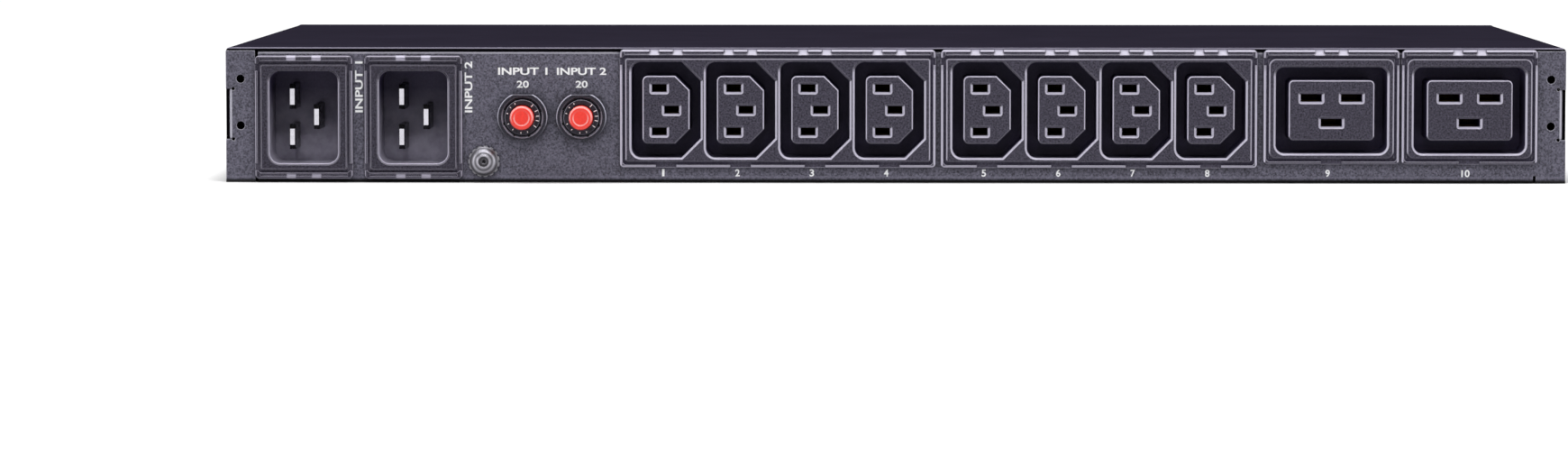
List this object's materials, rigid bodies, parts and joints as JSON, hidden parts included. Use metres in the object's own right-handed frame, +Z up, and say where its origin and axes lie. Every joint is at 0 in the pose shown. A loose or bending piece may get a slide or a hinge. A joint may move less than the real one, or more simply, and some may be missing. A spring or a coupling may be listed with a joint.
{
  "type": "rack static transfer switch",
  "caption": "One-unit rack transfer switch that feeds ten appliance outlets from either of two inlets, with reset breakers and a display on its front.",
  "frame": {"origin": "centre of the bounding box's underside", "axes": "-Y out of the outlet face, +X to the right when the outlets are seen square on, +Z up"},
  "size_m": [0.433, 0.2386, 0.0437],
  "materials": {
    "panel_paint": "fine textured powder coat, dark grey",
    "cover_paint": "smooth matt black paint",
    "black_plastic": "satin black moulding",
    "blade_metal": "nickel plate",
    "zinc": "zinc plate",
    "brass": "bare brass",
    "red_plastic": "satin red",
    "key_plastic": "satin grey",
    "window": "smoked, polished",
    "lamp_plastic": "clear diffusing",
    "board": "solder mask",
    "part_black": "moulded epoxy",
    "terminal_green": "moulded",
    "sink_alloy": "extruded",
    "copper": "enamelled copper",
    "core_steel": "varnished laminations",
    "wire_cover": "smooth",
    "ribbon": "ribbed"
  },
  "bodies": {
    "housing": {"base_chassis": "panel_paint", "top_cover": "cover_paint", "front_panel": "panel_paint", "cover_screws": "zinc", "cover_nuts": "zinc", "ear_nuts": "zinc", "inlet_housing_a": "black_plastic", "inlet_housing_b": "black_plastic", "inlet_pins_a": "blade_metal", "inlet_pins_b": "blade_metal", "outlet_bank_1": "black_plastic", "outlet_bank_2": "black_plastic", "bank_contacts_1": "brass", "bank_contacts_2": "brass", "bank_back_1": "black_plastic", "bank_back_2": "black_plastic", "large_outlet_1": "black_plastic", "large_outlet_2": "black_plastic", "large_contacts_1": "brass", "large_contacts_2": "brass", "large_back_1": "black_plastic", "large_back_2": "black_plastic", "outlet_board": "board", "breaker_case_1": "black_plastic", "breaker_case_2": "black_plastic", "breaker_ring_nut_1": "black_plastic", "breaker_ring_nut_2": "black_plastic", "breaker_terminals": "brass", "ground_screw": "zinc", "ground_washer": "zinc", "ground_nut": "zinc", "ground_lug": "zinc", "display_window": "window", "display_module": "part_black", "display_board": "board", "key_switches": "part_black", "status_lights": "lamp_plastic", "network_jack": "part_black", "console_jack": "part_black", "control_board": "board", "control_chips": "part_black", "ribbon_cable": "ribbon", "power_board": "board", "thyristor_modules": "part_black", "heat_sink": "sink_alloy", "relays": "part_black", "filter_capacitors": "part_black", "filter_chokes": "copper", "supply_transformers": "core_steel", "terminal_blocks": "terminal_green", "input_wires": "wire_cover", "load_wires": "wire_cover", "board_spacers": "zinc", "machine_screws": "zinc"},
    "reset_button_1": {"reset_button_1": "red_plastic"},
    "reset_button_2": {"reset_button_2": "red_plastic"},
    "source_key_a": {"source_key_a": "key_plastic"},
    "source_key_b": {"source_key_b": "key_plastic"},
    "menu_key": {"menu_key": "key_plastic"},
    "enter_key": {"enter_key": "key_plastic"}
  },
  "joints": [
    {"name": "reset_1", "type": "slide", "parent": "housing", "child": "reset_button_1", "axis": [0, -1, 0], "range_m": [0, 0.0045]},
    {"name": "reset_2", "type": "slide", "parent": "housing", "child": "reset_button_2", "axis": [0, -1, 0], "range_m": [0, 0.0045]},
    {"name": "source_key_a_press", "type": "slide", "parent": "housing", "child": "source_key_a", "axis": [0, -1, 0], "range_m": [0, 0.0008], "stiffness_N_per_m": 400, "springref_m": -0.0005},
    {"name": "source_key_b_press", "type": "slide", "parent": "housing", "child": "source_key_b", "axis": [0, -1, 0], "range_m": [0, 0.0008], "stiffness_N_per_m": 400, "springref_m": -0.0005},
    {"name": "menu_key_press", "type": "slide", "parent": "housing", "child": "menu_key", "axis": [0, -1, 0], "range_m": [0, 0.0008], "stiffness_N_per_m": 400, "springref_m": -0.0005},
    {"name": "enter_key_press", "type": "slide", "parent": "housing", "child": "enter_key", "axis": [0, -1, 0], "range_m": [0, 0.0008], "stiffness_N_per_m": 400, "springref_m": -0.0005}
  ]
}
